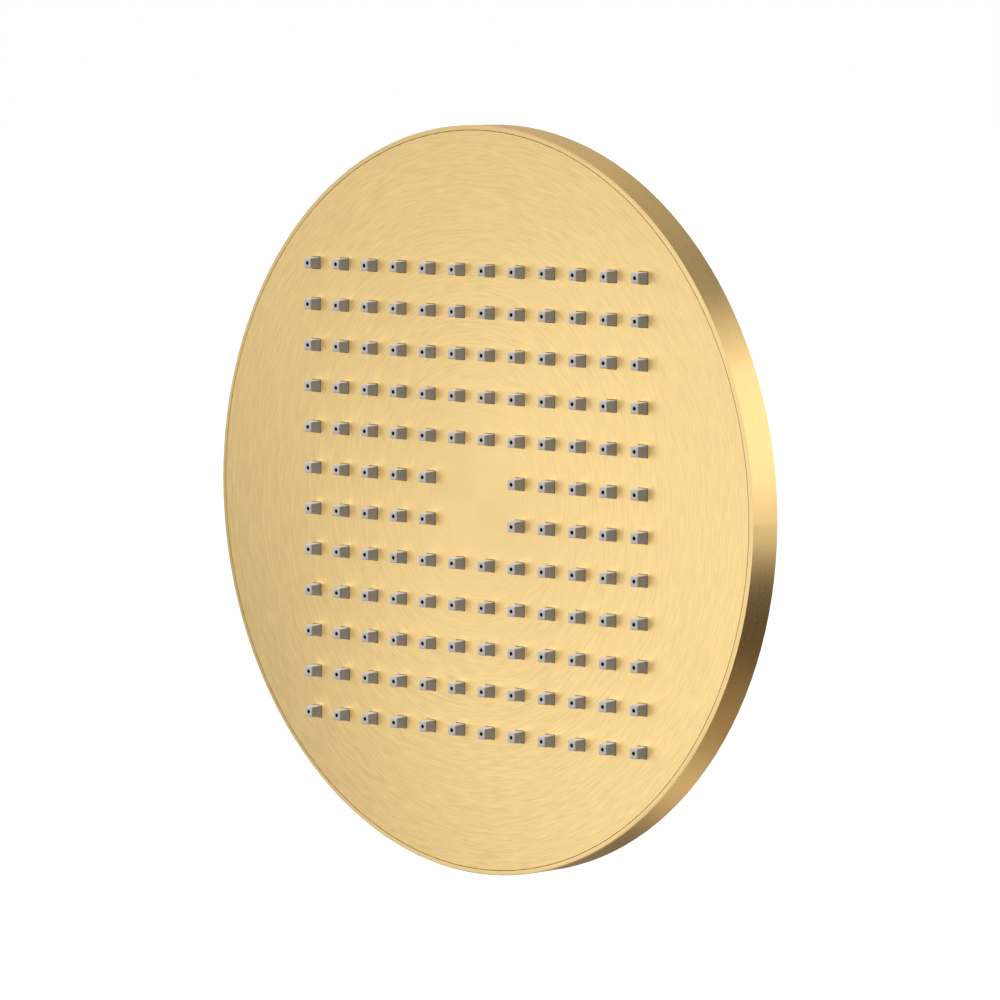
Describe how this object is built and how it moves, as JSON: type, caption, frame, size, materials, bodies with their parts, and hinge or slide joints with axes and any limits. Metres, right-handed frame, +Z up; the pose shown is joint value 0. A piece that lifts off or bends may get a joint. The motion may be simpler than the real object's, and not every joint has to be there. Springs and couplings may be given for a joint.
{
  "type": "fixed shower head",
  "caption": "Flat round rain shower head with a square field of soft square nozzles, on a ball joint with a threaded inlet collar.",
  "frame": {"origin": "centre of the inlet collar's mouth", "axes": "+Y out of the inlet towards the arm, the spray face looks towards -Y, +Z up as in the picture, with a row of the nozzle field along X; on a hanging arm -Y points down"},
  "size_m": [0.25, 0.0564, 0.25],
  "materials": {
    "shell_gold": "brushed along the rim, gold coloured",
    "face_gold": "fine concentric brushing, gold coloured",
    "fitting_gold": "brushed, gold coloured",
    "plain_brass": "turned, uncoated",
    "nozzle_silicone": "smooth moulded silicone",
    "seal_rubber": "matt moulded rubber",
    "backing_plastic": "matt moulded plastic",
    "seat_plastic": "satin acetal",
    "regulator_plastic": "matt moulded plastic",
    "fastener_steel": "plain stainless steel",
    "filter_steel": "woven stainless mesh"
  },
  "bodies": {
    "inlet": {"swivel_ball": "fitting_gold", "flow_regulator": "regulator_plastic", "regulator_seal": "seal_rubber", "inlet_washer": "seal_rubber", "inlet_filter": "filter_steel"},
    "seat": {"ball_seat": "seat_plastic", "grip_ring": "seat_plastic"},
    "head": {"back_shell": "shell_gold", "face_plate": "face_gold", "nozzle_mat": "nozzle_silicone", "backing_plate": "backing_plastic", "plate_nuts": "fastener_steel", "rim_seal": "seal_rubber", "centre_hub": "plain_brass", "hub_gasket": "seal_rubber", "socket_spigot": "fitting_gold", "spigot_seal": "seal_rubber", "seat_seal": "seal_rubber", "swivel_nut": "fitting_gold"}
  },
  "joints": [
    {"name": "head_tilt", "type": "hinge", "parent": "inlet", "child": "seat", "pos_m": [0, -0.03, 0], "axis": [1, 0, 0], "range_deg": [-15, 15]},
    {"name": "head_spin", "type": "hinge", "parent": "seat", "child": "head", "pos_m": [0, -0.03, 0], "axis": [0, 1, 0], "continuous": true}
  ]
}
